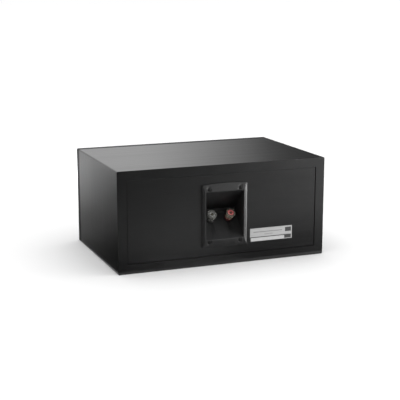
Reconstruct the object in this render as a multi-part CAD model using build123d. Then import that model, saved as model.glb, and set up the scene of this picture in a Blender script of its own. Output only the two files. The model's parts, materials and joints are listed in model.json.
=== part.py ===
from build123d import *
import os
from math import asin, cos, degrees, hypot, radians, sin, sqrt, tan

# Center channel speaker, in millimetres, +Z up. The drivers face -Y and the terminals face +Y.
# The origin is the middle of the underside.

# Driver flanges, which set the width of the cabinet
woofer_flange_radius = 59.0
tweeter_flange_radius = 43.0
flange_thickness = 4.0
flange_gap = 0.3
flange_spacing = 7.0
flange_to_side = 6.0
woofer_x = tweeter_flange_radius + flange_spacing + woofer_flange_radius
width = 2 * (woofer_x + woofer_flange_radius + flange_to_side)

# Cabinet: a folded wrap, an inset rear panel and a baffle with a locating step
height = 160.0
depth = 230.0
wall = 15.0
edge_radius = 2.0
panel_groove = 1.0
baffle_thickness = 15.0
baffle_step = 5.0
step_gap = 0.2
socket_radius = 4.0
socket_bore = 2.3
socket_depth = 10.0
socket_inset = 14.0
wadding_thickness = 24.0
wadding_gap = 0.3

# Woofer cone and surround
cone_radius = 38.0
cone_rim = 3.7
cone_depth = 13.3
cone_skin = 1.2
dome_radius = 16.5
dome_height = 5.0
dome_steps = 4
neck_length = 4.0
neck_wall = 1.2
glue_gap = 0.15
roll_radius = 4.2
roll_wall = 0.8
roll_steps = 6
lip_thickness = 1.2
lip_width = 5.0
lip_gap = 0.2

# Woofer voice coil, spider and basket
former_radius = 12.6
former_wall = 0.55
winding_wall = 0.8
winding_length = 10.0
spider_depth = 27.0
spider_skin = 0.8
spider_rim = 3.2
spider_folds = 2
spider_wave = 1.4
basket_wall = 1.4
basket_straight = 11.0
basket_depth = 33.6
basket_hole = 20.0
ledge_radius = 31.0
ledge_width = 4.0
window_angle = 62.0
window_rib = 1.5
cutout_gap = 0.6

# Woofer motor
magnet_gap = 0.5
plate_thickness = 5.0
plate_radius = 36.0
magnet_radius = 40.0
magnet_bore = 19.0
magnet_thickness = 15.0
yoke_radius = 37.0

# Tweeter
guide_mouth = 26.0
guide_depth = 6.0
guide_steps = 4
throat_gap = 0.6
tweeter_dome_radius = 13.4
tweeter_dome_height = 5.2
dome_skin = 0.6
dome_rim = 4.9
boss_radius = 28.0
boss_depth = 8.0
tweeter_coil_length = 4.5
tweeter_coil_wall = 0.5
tweeter_gap = 0.5
tweeter_cup_radius = 22.0
tweeter_cup_wall = 4.0
tweeter_plate = 3.0
tweeter_magnet = 12.0
cup_lip_radius = 25.0

# Driver screws
screw_radius = 1.7
screw_head_radius = 3.0
screw_head = 1.8
screw_length = 16.0
screw_gap = 0.1
head_gap = 0.3
head_sink = 0.2

# Terminal cup on the rear panel
cup_width = 78.0
cup_height = 98.0
cup_bow = 2.0
cup_edge = 1.0
cup_rise = 3.0
cup_wall = 2.5
cup_gap = 0.4
lip_flat = 1.5
side_band = 6.0
end_band = 9.75
tray_depth = 34.0
tray_back = 7.5
gasket_thickness = 0.8
gasket_inset = 1.5
cup_screw_side = 13.0
cup_screw_end = 7.0
cup_screw_head_radius = 2.9
cup_screw_head = 1.2
cup_screw_pocket = 1.3
cup_screw_length = 13.0

# Binding posts, standing square on the lower slope of the tray
post_to_side = 15.5
post_from_back = 11.0
stud_radius = 3.0
stud_tail = 11.0
stud_shoulder_radius = 4.6
stud_shoulder = 1.2
plug_bore = 2.0
plug_depth = 11.5
thread_gap = 0.12
collar_radius = 6.75
collar_height = 3.5
spigot_radius = 4.0
spigot_gap = 0.2
cap_start_gap = 0.3
cap_base_radius = 6.3
cap_tip_radius = 8.2
cap_sides = 8
cap_end = 16.0
cap_round = 0.5
insert_radius = 5.0
insert_gap = 0.1
ring_bore = 2.3
ring_thickness = 1.2
ring_proud = 0.3
nut_across = 10.0
nut_thickness = 4.0
tag_thickness = 0.8
tag_radius = 5.0
tag_length = 13.0
tag_width = 5.0

# Rating label, left of the cup as seen from the front
label_width = 73.5
label_height = 21.0
label_thickness = 0.2
label_x = 81.0
label_z = 42.5

# Crossover
board_width = 110.0
board_length = 80.0
board_thickness = 1.6
board_y = 5.0
standoff_height = 6.0
standoff_radius = 4.0
standoff_inset = 6.0
part_gap = 0.2
inductor_radius = 16.0
inductor_bore = 8.0
inductor_height = 18.0
capacitor_radius = 8.0
capacitor_length = 30.0
resistor_length = 28.0
resistor_side = 9.0

# Inner leads
lead_radius = 1.8
lead_gap = 0.3
lead_bend = 11.0

# Places worked out from the sizes above
mid_z = height / 2
inner_x = width / 2 - wall
floor_z = wall
ceiling_z = height - wall
rear_y = depth / 2
front_y = -depth / 2
baffle_back = baffle_thickness + baffle_step
rim_z = -lip_thickness
roll_middle = cone_radius + roll_radius
roll_inner = roll_radius - roll_wall
lip_outer = roll_middle + roll_radius + lip_width
seat_radius = lip_outer + lip_gap
throat = roll_middle + roll_inner + lip_gap
cutout_radius = throat + basket_wall + cutout_gap
former_outer = former_radius + former_wall
neck_bore = former_outer + glue_gap
ledge_outer = ledge_radius + ledge_width
coil_bore = former_outer + winding_wall + magnet_gap
pole_radius = former_radius - magnet_gap
screw_circle = (seat_radius + woofer_flange_radius) / 2
tweeter_screw_circle = (boss_radius + flange_gap + tweeter_flange_radius) / 2
rim_radius = tweeter_dome_radius + dome_rim
board_z = floor_z + standoff_height
board_top = board_z + board_thickness
tray_width = cup_width - 2 * (side_band + lip_flat)
tray_height = cup_height - 2 * (end_band + lip_flat)
cup_screw_x = cup_width / 2 - cup_screw_side
cup_screw_z = cup_height / 2 - cup_screw_end
post_x = tray_width / 2 - post_to_side
tray_run = (tray_height - tray_back) / 2
slope_length = hypot(tray_run, tray_depth)
slope_out = tray_run / slope_length
slope_up = tray_depth / slope_length
tray_bottom = cup_rise - tray_depth
post_z = tray_bottom + post_from_back * slope_up
post_y = -tray_back / 2 - post_from_back * slope_out
stud_tip = cap_end + ring_proud - ring_thickness - cap_start_gap
cup_body_height = tray_height + 2 * cup_wall / slope_up
cup_body_height -= 2 * (cup_rise - gasket_thickness) * tray_run / tray_depth

lower = (Align.CENTER, Align.CENTER, Align.MIN)
upper = (Align.CENTER, Align.CENTER, Align.MAX)


def driver_place(x):
    """Frame on the baffle's front, with its z axis pointing out of the baffle."""
    return Location(Plane(origin=(x, front_y, mid_z), x_dir=(1, 0, 0), z_dir=(0, -1, 0)))


rear_place = Location(Plane(origin=(0, rear_y, mid_z), x_dir=(-1, 0, 0), z_dir=(0, 1, 0)))


def post_place(x):
    """Frame on the tray's lower slope, with its z axis along the post."""
    slope = Plane(origin=(x, post_y, post_z), x_dir=(1, 0, 0), z_dir=(0, slope_up, slope_out))
    return rear_place * Location(slope)


def turned(*points):
    """Solid turned about Z from a closed outline of (radius, z) points."""
    return revolve(Plane.XZ * make_face(Polyline(*points, close=True)), Axis.Z)


def rod(radius, start, end):
    return Pos(0, 0, start) * Cylinder(radius, end - start, align=lower)


def tube(outer, inner, start, end):
    return rod(outer, start, end) - rod(inner, start, end)


def dome_points(radius, ball, middle):
    """Points on a ball about (0, middle), from the axis out to the given radius."""
    radii = [radius * i / dome_steps for i in range(dome_steps + 1)]
    return [(r, middle + sqrt(ball * ball - r * r)) for r in radii]


def roll_points(middle, radius, start, end):
    """Points on a roll's arc about (middle, rim_z), between two angles in degrees."""
    angles = [radians(start + (end - start) * i / roll_steps) for i in range(roll_steps + 1)]
    return [(middle + radius * cos(a), rim_z + radius * sin(a)) for a in angles]


def around(circle, count, shape, start=45.0):
    turn = 360 / count
    return [Rot(0, 0, start + turn * i) * Pos(circle, 0, 0) * shape for i in range(count)]


def save(node, shape):
    export_step(shape, f"parts/{node}.step")


def save_group(node, solids):
    save(node, Compound(children=[Part() + solid for solid in solids]))


# Cabinet


def cabinet_wrap():
    length = depth - baffle_thickness
    outside = RectangleRounded(width, height, edge_radius)
    inside = Rectangle(width - 2 * wall, height - 2 * wall)
    back_frame = Location(Plane(origin=(0, rear_y, mid_z), x_dir=(1, 0, 0), z_dir=(0, -1, 0)))
    shell = back_frame * extrude(outside - inside, length)
    return shell


def rear_panel():
    plate = Box(2 * inner_x, ceiling_z - floor_z, wall, align=upper)
    plate = chamfer(plate.faces().sort_by(Axis.Z)[-1].edges(), panel_groove)
    plate -= Box(tray_width + 2 * (cup_wall + cup_gap), cup_body_height + 2 * cup_gap, 3 * wall)
    for x, y in cup_screw_places():
        plate -= Pos(x, y, 0) * Cylinder(screw_radius + screw_gap, cup_screw_length, align=upper)
    return rear_place * plate


def front_baffle():
    slab = extrude(RectangleRounded(width, height, edge_radius), -baffle_thickness)
    slab = fillet(slab.faces().sort_by(Axis.Z)[-1].edges(), edge_radius / 2)
    step = Box(2 * (inner_x - step_gap), ceiling_z - floor_z - 2 * step_gap, baffle_step, align=upper)
    slab += Pos(0, 0, -baffle_thickness) * step
    for x in (-woofer_x, woofer_x):
        slab -= Pos(x, 0, 0) * rod(woofer_flange_radius + flange_gap, -flange_thickness, flange_thickness)
        slab -= Pos(x, 0, 0) * rod(cutout_radius, -baffle_back, 0)
    slab -= rod(tweeter_flange_radius + flange_gap, -flange_thickness, flange_thickness)
    slab -= rod(boss_radius + flange_gap, -baffle_back, 0)
    for place in screw_places():
        slab -= place * rod(screw_radius + screw_gap, -screw_length - flange_thickness / 2, 0)
    for x, y in socket_corners():
        slab -= Pos(x, y, 0) * rod(socket_radius + lip_gap, -socket_depth, edge_radius)
    return driver_place(0) * slab


def socket_corners():
    x = width / 2 - socket_inset
    y = height / 2 - socket_inset
    return [(-x, -y), (-x, y), (x, -y), (x, y)]


def grille_sockets():
    cup = rod(socket_radius, -socket_depth, 0) - rod(socket_bore, lip_thickness - socket_depth, 0)
    return [driver_place(0) * Pos(x, y, 0) * cup for x, y in socket_corners()]


def damping_wadding():
    """Two pads on the inside of the rear panel, one on each side of the tray."""
    near_x = tray_width / 2 + cup_wall + wadding_thickness
    pad_width = inner_x - wadding_gap - near_x
    pad_height = ceiling_z - floor_z - 2 * wadding_gap
    pad = Box(pad_width, wadding_thickness, pad_height)
    pad_y = rear_y - wall - wadding_gap - wadding_thickness / 2
    return [Pos(side * (near_x + pad_width / 2), pad_y, mid_z) * pad for side in (-1, 1)]


# Woofers


def woofer_basket():
    basket = turned(
        (woofer_flange_radius, 0),
        (seat_radius, 0),
        (seat_radius, rim_z),
        (throat, rim_z),
        (throat, -basket_straight),
        (ledge_outer, -spider_depth),
        (ledge_radius, -spider_depth),
        (ledge_radius, basket_wall - basket_depth),
        (basket_hole, basket_wall - basket_depth),
        (basket_hole, -basket_depth),
        (ledge_radius + basket_wall, -basket_depth),
        (ledge_radius + basket_wall, -spider_depth - basket_wall),
        (ledge_outer + basket_wall, -spider_depth - basket_wall),
        (throat + basket_wall, -basket_straight),
        (throat + basket_wall, -flange_thickness),
        (woofer_flange_radius, -flange_thickness),
    )
    window_top = -basket_straight - window_rib
    window_bottom = -spider_depth + window_rib
    sector = make_face(
        Polyline(
            (ledge_radius, window_top),
            (ledge_radius, window_bottom),
            (2 * throat - ledge_radius, window_bottom),
            (2 * throat - ledge_radius, window_top),
            close=True,
        )
    )
    window = Rot(0, 0, -window_angle / 2) * revolve(Plane.XZ * sector, Axis.Z, window_angle)
    for i in range(4):
        basket -= Rot(0, 0, 90 * i) * window
    for hole in around(screw_circle, 4, screw_hole()):
        basket -= hole
    return basket


def woofer_surround():
    """Thin half-roll of rubber with a flat lip on each side."""
    foot = degrees(asin(lip_thickness / roll_radius))
    inner_lip = cone_radius - cone_rim
    return turned(
        (inner_lip, 0),
        (inner_lip, rim_z),
        *roll_points(roll_middle, roll_inner, 180, 0),
        (lip_outer, rim_z),
        (lip_outer, 0),
        *roll_points(roll_middle, roll_radius, foot, 180 - foot),
    )


def woofer_cone():
    """Moulded in one piece: rim, straight cone, raised centre and a neck for the coil former."""
    rim_inner = cone_radius - cone_rim
    slope = cone_depth / (rim_inner - dome_radius)
    dome_foot = rim_z - cone_depth
    ball = (dome_radius * dome_radius + dome_height * dome_height) / (2 * dome_height)
    middle = dome_foot + dome_height - ball
    neck_outer = neck_bore + neck_wall
    neck_top = dome_foot - slope * (dome_radius - neck_outer) - cone_skin
    return turned(
        *dome_points(dome_radius, ball, middle),
        (rim_inner, rim_z),
        (cone_radius, rim_z),
        (cone_radius, rim_z - cone_skin),
        (rim_inner, rim_z - cone_skin),
        (neck_outer, neck_top),
        (neck_outer, neck_top - neck_length),
        (neck_bore, neck_top - neck_length),
        *reversed(dome_points(neck_bore, ball - cone_skin, middle)),
    )


def woofer_voice_coil():
    former_top = rim_z - cone_depth - cone_skin
    winding_middle = -basket_depth - plate_thickness / 2
    winding_top = winding_middle + winding_length / 2
    winding_bottom = winding_middle - winding_length / 2
    return turned(
        (former_radius, former_top),
        (former_radius, winding_bottom),
        (former_outer + winding_wall, winding_bottom),
        (former_outer + winding_wall, winding_top),
        (former_outer, winding_top),
        (former_outer, former_top),
    )


def woofer_spider():
    """Corrugated disc from the coil former to the basket's ledge."""
    rim_inner = ledge_outer - lip_gap - spider_rim
    pitch = (rim_inner - neck_bore) / (2 * spider_folds)
    folds = [
        (neck_bore + pitch * i, -spider_depth + (spider_wave if i % 2 else 0))
        for i in range(2 * spider_folds + 1)
    ]
    under = folds + [(ledge_outer - lip_gap, -spider_depth)]
    over = [(radius, z + spider_skin) for radius, z in reversed(under)]
    return turned(*under, *over)


def woofer_top_plate():
    return tube(plate_radius, coil_bore, -basket_depth - plate_thickness, -basket_depth)


def woofer_magnet():
    top = -basket_depth - plate_thickness
    return tube(magnet_radius, magnet_bore, top - magnet_thickness, top)


def woofer_yoke():
    top = -basket_depth - plate_thickness - magnet_thickness
    return rod(yoke_radius, top - plate_thickness, top) + rod(pole_radius, top, -basket_depth)


woofer_pieces = {
    "basket": woofer_basket,
    "surround": woofer_surround,
    "cone": woofer_cone,
    "voice_coil": woofer_voice_coil,
    "spider": woofer_spider,
    "top_plate": woofer_top_plate,
    "magnet": woofer_magnet,
    "yoke": woofer_yoke,
}


# Tweeter


def tweeter_faceplate():
    """Flush plate with a curved guide that narrows to the dome."""
    throat_radius = tweeter_dome_radius + throat_gap
    rim_seat = dome_skin - boss_depth + lip_gap
    flare = guide_mouth - throat_radius
    quarter = [radians(90 * i / guide_steps) for i in range(guide_steps + 1)]
    guide = [(guide_mouth - flare * sin(a), -guide_depth * (1 - cos(a))) for a in quarter]
    plate = turned(
        *guide,
        (throat_radius, rim_seat),
        (rim_radius + lip_gap, rim_seat),
        (rim_radius + lip_gap, -boss_depth),
        (boss_radius, -boss_depth),
        (boss_radius, -flange_thickness),
        (tweeter_flange_radius, -flange_thickness),
        (tweeter_flange_radius, 0),
    )
    for hole in around(tweeter_screw_circle, 4, screw_hole()):
        plate -= hole
    return plate


def tweeter_dome():
    """Coated cloth dome with the flat rim that it is clamped by."""
    rim_under = lip_gap - boss_depth
    rim_over = rim_under + dome_skin
    ball = (tweeter_dome_radius**2 + tweeter_dome_height**2) / (2 * tweeter_dome_height)
    middle = rim_over + tweeter_dome_height - ball
    inner_ball = ball - dome_skin
    inner_radius = sqrt(inner_ball * inner_ball - (rim_under - middle) ** 2)
    return turned(
        *dome_points(tweeter_dome_radius, ball, middle),
        (rim_radius, rim_over),
        (rim_radius, rim_under),
        *reversed(dome_points(inner_radius, inner_ball, middle)),
    )


def tweeter_coil_radius():
    return tweeter_dome_radius - tweeter_coil_wall


def tweeter_voice_coil():
    top = lip_gap - boss_depth - part_gap
    outer = tweeter_coil_radius()
    return tube(outer + tweeter_coil_wall, outer, top - tweeter_coil_length, top)


def tweeter_pole_plate():
    radius = tweeter_coil_radius() - tweeter_gap
    return rod(radius, -boss_depth - part_gap - tweeter_plate, -boss_depth - part_gap)


def tweeter_magnet_disc():
    top = -boss_depth - part_gap - tweeter_plate
    return rod(tweeter_coil_radius() - 2 * tweeter_gap, top - tweeter_magnet, top)


def tweeter_cup():
    """Steel pot round the magnet, with a lip that meets the faceplate's boss."""
    bore = tweeter_dome_radius + tweeter_gap
    bottom = -boss_depth - part_gap - tweeter_plate - tweeter_magnet
    return turned(
        (0, bottom),
        (bore, bottom),
        (bore, -boss_depth),
        (cup_lip_radius, -boss_depth),
        (cup_lip_radius, -boss_depth - tweeter_plate),
        (tweeter_cup_radius, -boss_depth - tweeter_plate),
        (tweeter_cup_radius, bottom - tweeter_cup_wall),
        (0, bottom - tweeter_cup_wall),
    )


tweeter_pieces = {
    "faceplate": tweeter_faceplate,
    "dome": tweeter_dome,
    "voice_coil": tweeter_voice_coil,
    "pole_plate": tweeter_pole_plate,
    "magnet": tweeter_magnet_disc,
    "cup": tweeter_cup,
}


# Driver screws


def screw_hole():
    sink = rod(screw_head_radius + head_gap, -screw_head - head_sink, flange_thickness)
    return sink + rod(screw_radius + head_gap, -2 * flange_thickness, 0)


def driver_screw():
    under = -screw_head - head_sink
    return rod(screw_head_radius, under, -head_sink) + rod(screw_radius, -screw_length, under)


def screw_places():
    """Screw axes on the baffle, in the frame of the baffle's front."""
    places = []
    for x, circle in ((-woofer_x, screw_circle), (0, tweeter_screw_circle), (woofer_x, screw_circle)):
        places += [Pos(x, 0, 0) * Rot(0, 0, 45 + 90 * i) * Pos(circle, 0, 0) for i in range(4)]
    return places


# Terminal cup


def cup_screw_places():
    return [(x, y) for x in (-cup_screw_x, cup_screw_x) for y in (-cup_screw_z, cup_screw_z)]


def bowed_plate(side, up, bow):
    """Rectangle whose two short ends bow outwards."""
    x = side / 2
    y = up / 2
    return make_face(
        [
            ThreePointArc((-x, y), (0, y + bow), (x, y)),
            Line((x, y), (x, -y)),
            ThreePointArc((x, -y), (0, -y - bow), (-x, -y)),
            Line((-x, -y), (-x, y)),
        ]
    )


def tray_section():
    """Section of the tray, as (y, z), open past the lip."""
    top = tray_height / 2
    back = tray_back / 2
    past = tray_run / tray_depth * cup_rise
    return make_face(
        Polyline(
            (-top - past, 2 * cup_rise),
            (-back, tray_bottom),
            (back, tray_bottom),
            (top + past, 2 * cup_rise),
            close=True,
        )
    )


def terminal_cup():
    """Moulded in one piece: mitred flange with bowed ends, V-shaped tray and screw pockets."""
    edge_z = gasket_thickness + cup_edge
    rim = bowed_plate(cup_width, cup_height, cup_bow)
    lip = Rectangle(tray_width + 2 * lip_flat, tray_height + 2 * lip_flat)
    flange = Pos(0, 0, gasket_thickness) * extrude(rim, cup_edge)
    flange += loft([Pos(0, 0, edge_z) * rim, Pos(0, 0, cup_rise) * lip], ruled=True)
    walls = offset(tray_section(), amount=cup_wall, kind=Kind.INTERSECTION)
    body = extrude(Plane.YZ * walls, tray_width / 2 + cup_wall, both=True)
    below = Box(cup_width, cup_height, tray_depth + cup_wall + gasket_thickness, align=upper)
    cup = flange + (body & (Pos(0, 0, gasket_thickness) * below))
    cup -= extrude(Plane.YZ * tray_section(), tray_width / 2, both=True)
    for x, y in cup_screw_places():
        cup -= Pos(x, y, 0) * rod(cup_screw_head_radius + head_gap, cup_screw_pocket, 2 * cup_rise)
        cup -= Pos(x, y, 0) * rod(screw_radius + head_gap, 0, cup_rise)
    for x in (-post_x, post_x):
        hole = rod(spigot_radius + spigot_gap, -2 * cup_wall, cup_wall)
        cup -= rear_place.inverse() * post_place(x) * hole
    return rear_place * cup


def cup_gasket():
    ring = bowed_plate(cup_width - 2 * gasket_inset, cup_height - 2 * gasket_inset, cup_bow)
    ring -= Rectangle(tray_width + 2 * (cup_wall + cup_gap), cup_body_height + 2 * cup_gap)
    gasket = extrude(ring, gasket_thickness)
    for x, y in cup_screw_places():
        gasket -= Pos(x, y, 0) * rod(screw_radius + head_gap, 0, gasket_thickness)
    return rear_place * gasket


def cup_screws():
    head = rod(cup_screw_head_radius, cup_screw_pocket, cup_screw_pocket + cup_screw_head)
    screw = head + rod(screw_radius, cup_screw_pocket - cup_screw_length, cup_screw_pocket)
    return [rear_place * Pos(x, y, 0) * screw for x, y in cup_screw_places()]


def rating_label():
    plate = Box(label_width, label_height, label_thickness, align=lower)
    return rear_place * Pos(label_x, label_z - mid_z, 0) * plate


# Binding posts


def post_collar():
    collar = rod(collar_radius, 0, collar_height) + rod(spigot_radius, -cup_wall, 0)
    return collar - rod(stud_radius + thread_gap, -cup_wall, collar_height)


def post_stud():
    stud = rod(stud_radius, -stud_tail, stud_tip)
    stud += rod(stud_shoulder_radius, collar_height, collar_height + stud_shoulder)
    return stud - rod(plug_bore, stud_tip - plug_depth, stud_tip)


def insert_start():
    return collar_height + stud_shoulder + cap_start_gap


def insert_end():
    return cap_end + ring_proud - ring_thickness - insert_gap


def post_cap_insert():
    return tube(insert_radius, stud_radius + thread_gap, insert_start(), insert_end())


def post_cap_sleeve():
    """Clear cap with flat sides that widen towards its tip."""
    start = collar_height + cap_start_gap
    base = Pos(0, 0, start) * RegularPolygon(cap_base_radius, cap_sides)
    tip = Pos(0, 0, cap_end) * RegularPolygon(cap_tip_radius, cap_sides)
    cap = loft([base, tip], ruled=True)
    cap = chamfer(cap.faces().sort_by(Axis.Z)[-1].edges(), cap_round)
    return cap - rod(insert_radius + insert_gap, start, cap_end)


def post_cap_ring():
    end = cap_end + ring_proud
    return tube(insert_radius, ring_bore, end - ring_thickness, end)


def post_lock_nut():
    start = -cup_wall - tag_thickness - nut_thickness
    hexagon = extrude(RegularPolygon(nut_across / 2, 6, major_radius=False), nut_thickness)
    return Pos(0, 0, start) * hexagon - rod(stud_radius + thread_gap, start, 0)


def post_solder_tag():
    """Flat eyelet under the lock nut, with a tab that points down the slope."""
    start = -cup_wall - tag_thickness
    tab = Pos(0, -tag_length / 2, start) * Box(tag_width, tag_length, tag_thickness, align=lower)
    return tab + rod(tag_radius, start, -cup_wall) - rod(stud_radius + thread_gap, start, 0)


post_pieces = {
    "collar": post_collar,
    "stud": post_stud,
    "cap_insert": post_cap_insert,
    "cap_sleeve": post_cap_sleeve,
    "cap_ring": post_cap_ring,
    "lock_nut": post_lock_nut,
    "solder_tag": post_solder_tag,
}


# Crossover


def board_corners():
    x = board_width / 2 - standoff_inset
    y = board_length / 2 - standoff_inset
    return [(side_x * x, board_y + side_y * y) for side_x in (-1, 1) for side_y in (-1, 1)]


def crossover_board():
    board = Pos(0, board_y, board_z) * Box(board_width, board_length, board_thickness, align=lower)
    return board


def board_standoffs():
    post = rod(standoff_radius, floor_z, board_z)
    return [Pos(x, y, 0) * post for x, y in board_corners()]


def board_spot(across, along, above=0.0):
    """Place on the board, in shares of its width and length from its middle."""
    return Pos(across * board_width, board_y + along * board_length, board_top + above)


def inductor(across, along, size):
    """Air-cored coil that stands on the board."""
    coil = tube(size * inductor_radius, size * inductor_bore, 0, size * inductor_height)
    return board_spot(across, along) * coil


def capacitor(across, along, size):
    """Film capacitor that lies on the board, along X."""
    can = Rot(0, 90, 0) * Cylinder(size * capacitor_radius, size * capacitor_length)
    return board_spot(across, along, size * capacitor_radius + part_gap) * can


crossover_parts = {
    "inductor_woofer": inductor(-0.31, 0.21, 1.0),
    "inductor_tweeter": inductor(0.33, 0.24, 0.7),
    "capacitor_woofer": capacitor(-0.22, -0.34, 1.0),
    "capacitor_tweeter": capacitor(0.24, -0.34, 0.9),
    "resistor": board_spot(0, 0.01) * Box(resistor_length, resistor_side, resistor_side, align=lower),
}


# Inner leads


def lead(*points):
    """Flat twin lead along straight runs, with each bend as large as its two runs allow."""
    knots = [Vector(*point) for point in points]
    runs = [after - before for before, after in zip(knots, knots[1:])]
    radii = []
    for before, after in zip(runs, runs[1:]):
        half_turn = radians(before.get_angle(after)) / 2
        radii.append(0.45 * min(before.length, after.length) / tan(half_turn))
    path = FilletPolyline(*knots, radius=radii)
    start = Plane(origin=path @ 0, z_dir=path % 0)
    return sweep(start * Rectangle(2 * lead_radius, lead_radius), path=path)


lead_z = board_top + lead_gap + lead_radius
tag_under = -cup_wall - tag_thickness - lead_gap
tag_reach = tag_radius + lead_radius + lead_gap
board_side = board_width / 2
board_front = board_y - board_length / 2
board_rear = board_y + board_length / 2


def input_lead(side):
    """From a solder tag down to the rear of the board."""
    place = post_place(-side * post_x)
    first = (place * Pos(0, -tag_reach, tag_under)).position
    second = (place * Pos(0, -tag_reach, tag_under - 2 * lead_bend)).position
    x = side * post_x
    third = (x, board_rear + lead_bend, lead_z + 0.5 * lead_bend)
    return lead(tuple(first), tuple(second), third, (x, board_rear - 1.2 * lead_bend, lead_z))


def woofer_lead(side):
    """From the board's front corner to the back of the basket, which it meets square."""
    reach = (ledge_radius + basket_wall + lead_gap) / sqrt(2)
    end_y = front_y + (spider_depth + basket_wall + basket_depth) / 2
    end_x = woofer_x - reach
    end_z = mid_z - reach
    points = [
        (board_side - lead_bend, board_front + 2 * lead_bend, lead_z),
        (board_side + 0.5 * lead_bend, board_front + lead_bend, lead_z + lead_gap),
        (board_side + lead_bend, board_front - 0.6 * lead_bend, lead_z + 0.3 * lead_bend),
        (board_side + 1.2 * lead_bend, board_front - 2.5 * lead_bend, lead_z + 0.75 * lead_bend),
        (end_x - 1.5 * lead_bend, end_y, end_z - 1.5 * lead_bend),
        (end_x, end_y, end_z),
    ]
    return lead(*[(side * x, y, z) for x, y, z in points])


def tweeter_lead():
    """From the board's front edge to the back of the tweeter's cup."""
    back = boss_depth + part_gap + tweeter_plate + tweeter_magnet + tweeter_cup_wall
    end_y = front_y + back + lead_gap
    points = [
        (0, board_front + 2 * lead_bend, lead_z),
        (0, board_front, lead_z + 0.3 * lead_bend),
        (0, board_front - 1.5 * lead_bend, lead_z + 1.75 * lead_bend),
        (0, board_front - 2 * lead_bend, mid_z - 1.25 * lead_bend),
        (0, end_y + 1.6 * lead_bend, mid_z),
        (0, end_y, mid_z),
    ]
    return lead(*points)


os.makedirs("parts", exist_ok=True)

save("cabinet_wrap", cabinet_wrap())
save("rear_panel", rear_panel())
save("front_baffle", front_baffle())
save_group("grille_sockets", grille_sockets())
save_group("damping_wadding", damping_wadding())

for side, x in (("left", -woofer_x), ("right", woofer_x)):
    for piece, make in woofer_pieces.items():
        save(f"woofer_{side}_{piece}", driver_place(x) * make())
for piece, make in tweeter_pieces.items():
    save(f"tweeter_{piece}", driver_place(0) * make())
save_group("driver_screws", [driver_place(0) * place * driver_screw() for place in screw_places()])

save("terminal_cup", terminal_cup())
save("cup_gasket", cup_gasket())
save_group("cup_screws", cup_screws())
save("rating_label", rating_label())
for colour, x in (("black", -post_x), ("red", post_x)):
    for piece, make in post_pieces.items():
        save(f"{colour}_post_{piece}", post_place(x) * make())

save("crossover_board", crossover_board())
save_group("board_standoffs", board_standoffs())
for piece, shape in crossover_parts.items():
    save(f"crossover_{piece}", shape)

save("black_input_lead", input_lead(1))
save("red_input_lead", input_lead(-1))
save("woofer_left_lead", woofer_lead(-1))
save("woofer_right_lead", woofer_lead(1))
save("tweeter_lead", tweeter_lead())
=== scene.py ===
import bpy
import json
from math import cos, pi, radians, sin, sqrt
from mathutils import Matrix, Vector
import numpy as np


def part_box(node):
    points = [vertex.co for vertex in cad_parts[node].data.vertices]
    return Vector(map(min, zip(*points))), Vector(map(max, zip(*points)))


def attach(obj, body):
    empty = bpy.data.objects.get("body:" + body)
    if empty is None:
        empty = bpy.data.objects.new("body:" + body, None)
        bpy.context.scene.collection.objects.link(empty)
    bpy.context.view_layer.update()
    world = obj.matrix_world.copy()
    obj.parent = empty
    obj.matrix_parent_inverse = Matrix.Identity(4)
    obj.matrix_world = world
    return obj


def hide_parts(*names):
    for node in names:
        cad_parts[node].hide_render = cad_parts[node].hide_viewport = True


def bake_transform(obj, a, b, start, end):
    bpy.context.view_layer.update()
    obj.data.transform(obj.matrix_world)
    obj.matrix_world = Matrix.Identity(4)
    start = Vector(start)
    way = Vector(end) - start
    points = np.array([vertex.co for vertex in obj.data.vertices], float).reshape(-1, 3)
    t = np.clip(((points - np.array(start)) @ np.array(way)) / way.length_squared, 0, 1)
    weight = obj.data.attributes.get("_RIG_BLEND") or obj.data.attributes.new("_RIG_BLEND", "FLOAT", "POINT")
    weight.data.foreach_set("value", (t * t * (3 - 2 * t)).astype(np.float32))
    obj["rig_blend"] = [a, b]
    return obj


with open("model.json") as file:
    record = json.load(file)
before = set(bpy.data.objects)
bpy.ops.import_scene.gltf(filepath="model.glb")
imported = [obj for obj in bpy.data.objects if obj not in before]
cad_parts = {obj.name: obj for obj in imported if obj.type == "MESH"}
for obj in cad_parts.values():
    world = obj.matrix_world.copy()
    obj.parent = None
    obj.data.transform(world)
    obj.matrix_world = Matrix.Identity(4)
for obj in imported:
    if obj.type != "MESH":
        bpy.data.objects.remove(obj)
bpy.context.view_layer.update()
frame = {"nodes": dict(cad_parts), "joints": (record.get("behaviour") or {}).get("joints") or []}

# Cabinet wrap: top, bottom and both sides, grooved from one board of 15 mm fibreboard and folded.
# The board was laminated before folding, so its black vinyl grain runs round the corners unbroken.


def start_finish(name, roughness, metallic=0.0):
    """New material, with its node tree, its shader and the piece's own coordinates."""
    finish = bpy.data.materials.new(name)
    finish.use_nodes = True
    tree = finish.node_tree
    shader = tree.nodes["Principled BSDF"]
    shader.inputs["Roughness"].default_value = roughness
    shader.inputs["Metallic"].default_value = metallic
    coordinates = tree.nodes.new("ShaderNodeTexCoord").outputs["Object"]
    return finish, tree, shader, coordinates


def stretched(tree, coordinates, scale, turn=(0, 0, 0), centre=(0, 0, 0)):
    """Coordinates about a centre, turned and then drawn out or squeezed along each axis."""
    shift = tree.nodes.new("ShaderNodeMapping")
    shift.inputs["Location"].default_value = [-value for value in centre]
    tree.links.new(coordinates, shift.inputs["Vector"])
    twist = tree.nodes.new("ShaderNodeMapping")
    twist.inputs["Rotation"].default_value = turn
    tree.links.new(shift.outputs["Vector"], twist.inputs["Vector"])
    squeeze = tree.nodes.new("ShaderNodeMapping")
    squeeze.inputs["Scale"].default_value = scale
    tree.links.new(twist.outputs["Vector"], squeeze.inputs["Vector"])
    return squeeze.outputs["Vector"]


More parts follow.
